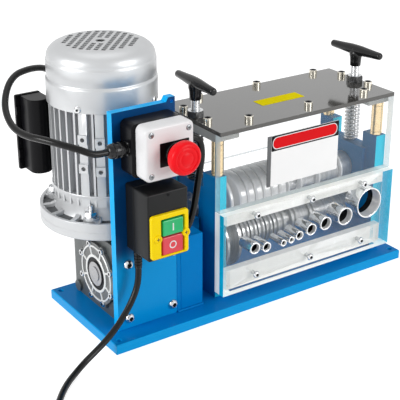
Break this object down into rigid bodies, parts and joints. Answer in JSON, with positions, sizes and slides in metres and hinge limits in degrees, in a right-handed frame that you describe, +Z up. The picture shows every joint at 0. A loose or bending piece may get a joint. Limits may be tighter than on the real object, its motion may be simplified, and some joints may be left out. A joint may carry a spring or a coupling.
{
  "type": "wire stripping machine",
  "caption": "Bench wire stripper: an upright gear motor drives grooved feed rollers under sprung cutting discs, behind clear guards with cable sleeves.",
  "frame": {"origin": "middle of the base plate's underside", "axes": "+X along the rollers away from the motor, +Y away from the side where cables go in, +Z up"},
  "size_m": [0.6824, 0.4469, 0.331],
  "materials": {
    "blue_paint": "gloss powder coat",
    "gearbox_grey": "painted casting",
    "motor_silver": "satin paint",
    "acrylic": "clear polished",
    "aluminium": "brushed",
    "frame_teal": "satin paint",
    "black_metal": "gloss",
    "steel": "turned",
    "zinc": "plated",
    "blade_steel": "ground, hardened",
    "brass": "turned",
    "black_plastic": "moulded",
    "white_plastic": "moulded",
    "red_plastic": "moulded",
    "green_plastic": "moulded",
    "yellow_plastic": "moulded",
    "rubber": "soft"
  },
  "bodies": {
    "frame": {"base_plate": "blue_paint", "control_panel": "blue_paint", "coupling_guard": "blue_paint", "gearbox_housing": "gearbox_grey", "gearbox_side_covers": "gearbox_grey", "cover_screws": "zinc", "output_seals": "rubber", "shaft_bearings": "steel", "motor_flange": "motor_silver", "flange_bolts": "zinc", "motor_body": "motor_silver", "stator": "steel", "fan_cowl": "motor_silver", "capacitor_box": "black_plastic", "capacitor_cover": "black_plastic", "terminal_box": "motor_silver", "button_screws": "zinc", "stop_base": "black_plastic", "stop_cover": "white_plastic", "stop_contacts": "black_plastic", "switch_box": "black_plastic", "switch_frame": "yellow_plastic", "cable_glands": "black_plastic", "control_lead": "rubber", "jumper_lead": "rubber", "strain_relief": "rubber", "mains_cord": "rubber", "mains_coil": "rubber", "coil_tie": "black_plastic", "mains_plug": "rubber", "left_end_plate": "frame_teal", "right_end_plate": "frame_teal", "frame_pillars": "brass", "cross_bars": "frame_teal", "top_plate": "black_metal", "top_screws": "zinc", "handle_nuts": "zinc", "upper_guards": "acrylic", "lower_guard": "acrylic", "guard_bars": "aluminium", "cable_sleeves": "zinc", "pressure_springs": "steel"},
    "carriage": {"bearing_blocks": "frame_teal", "upper_bearings": "steel"},
    "upper_roller": {"upper_shaft": "steel", "cutting_discs": "blade_steel"},
    "lower_roller": {"roller_shaft": "steel", "feed_rollers": "steel", "worm_wheel": "brass", "shaft_coupling": "steel"},
    "rotor": {"motor_rotor": "steel", "fan": "black_plastic"},
    "left_screw": {"left_lift_screw": "zinc", "left_handle": "black_plastic"},
    "right_screw": {"right_lift_screw": "zinc", "right_handle": "black_plastic"},
    "stop_plunger": {"stop_stem": "black_plastic"},
    "stop_mushroom": {"stop_button": "red_plastic"},
    "start_key": {"start_button": "green_plastic"},
    "stop_key": {"stop_switch_button": "red_plastic"}
  },
  "joints": [
    {"name": "carriage_slide", "type": "slide", "parent": "frame", "child": "carriage", "axis": [0, 0, 1], "range_m": [0, 0.01], "deforming": ["pressure_springs"]},
    {"name": "left_handle_turn", "type": "hinge", "parent": "carriage", "child": "left_screw", "pos_m": [-0.053, 0.005, 0.25], "axis": [0, 0, 1], "range_deg": [0, 2058]},
    {"name": "right_handle_turn", "type": "hinge", "parent": "carriage", "child": "right_screw", "pos_m": [0.2, 0.005, 0.25], "axis": [0, 0, 1], "range_deg": [0, 2058]},
    {"name": "upper_roller_spin", "type": "hinge", "parent": "carriage", "child": "upper_roller", "pos_m": [0.0735, 0.005, 0.1155], "axis": [1, 0, 0], "continuous": true},
    {"name": "motor_spin", "type": "hinge", "parent": "frame", "child": "rotor", "pos_m": [-0.1565, 0.045, 0.2], "axis": [0, 0, 1], "continuous": true},
    {"name": "lower_roller_spin", "type": "hinge", "parent": "frame", "child": "lower_roller", "pos_m": [0.0735, 0.005, 0.0605], "axis": [1, 0, 0], "continuous": true},
    {"name": "stop_push", "type": "slide", "parent": "frame", "child": "stop_plunger", "axis": [0, 1, 0], "range_m": [0, 0.004], "stiffness_N_per_m": 600, "springref_m": -0.002},
    {"name": "stop_twist", "type": "hinge", "parent": "stop_plunger", "child": "stop_mushroom", "pos_m": [-0.1505, -0.115, 0.239], "axis": [0, 1, 0], "range_deg": [0, 45], "stiffness_Nm_per_rad": 0.05, "springref_deg": -11.46},
    {"name": "start_push", "type": "slide", "parent": "frame", "child": "start_key", "axis": [0, 1, 0], "range_m": [0, 0.0025], "stiffness_N_per_m": 400, "springref_m": -0.0015},
    {"name": "stop_key_push", "type": "slide", "parent": "frame", "child": "stop_key", "axis": [0, 1, 0], "range_m": [0, 0.0025], "stiffness_N_per_m": 400, "springref_m": -0.0015}
  ],
  "couplings": [
    {"joint": "left_handle_turn", "follows": "carriage_slide", "rad_per_m": 3590.4},
    {"joint": "right_handle_turn", "follows": "carriage_slide", "rad_per_m": 3590.4},
    {"joint": "lower_roller_spin", "follows": "motor_spin", "ratio": -0.033333}
  ]
}
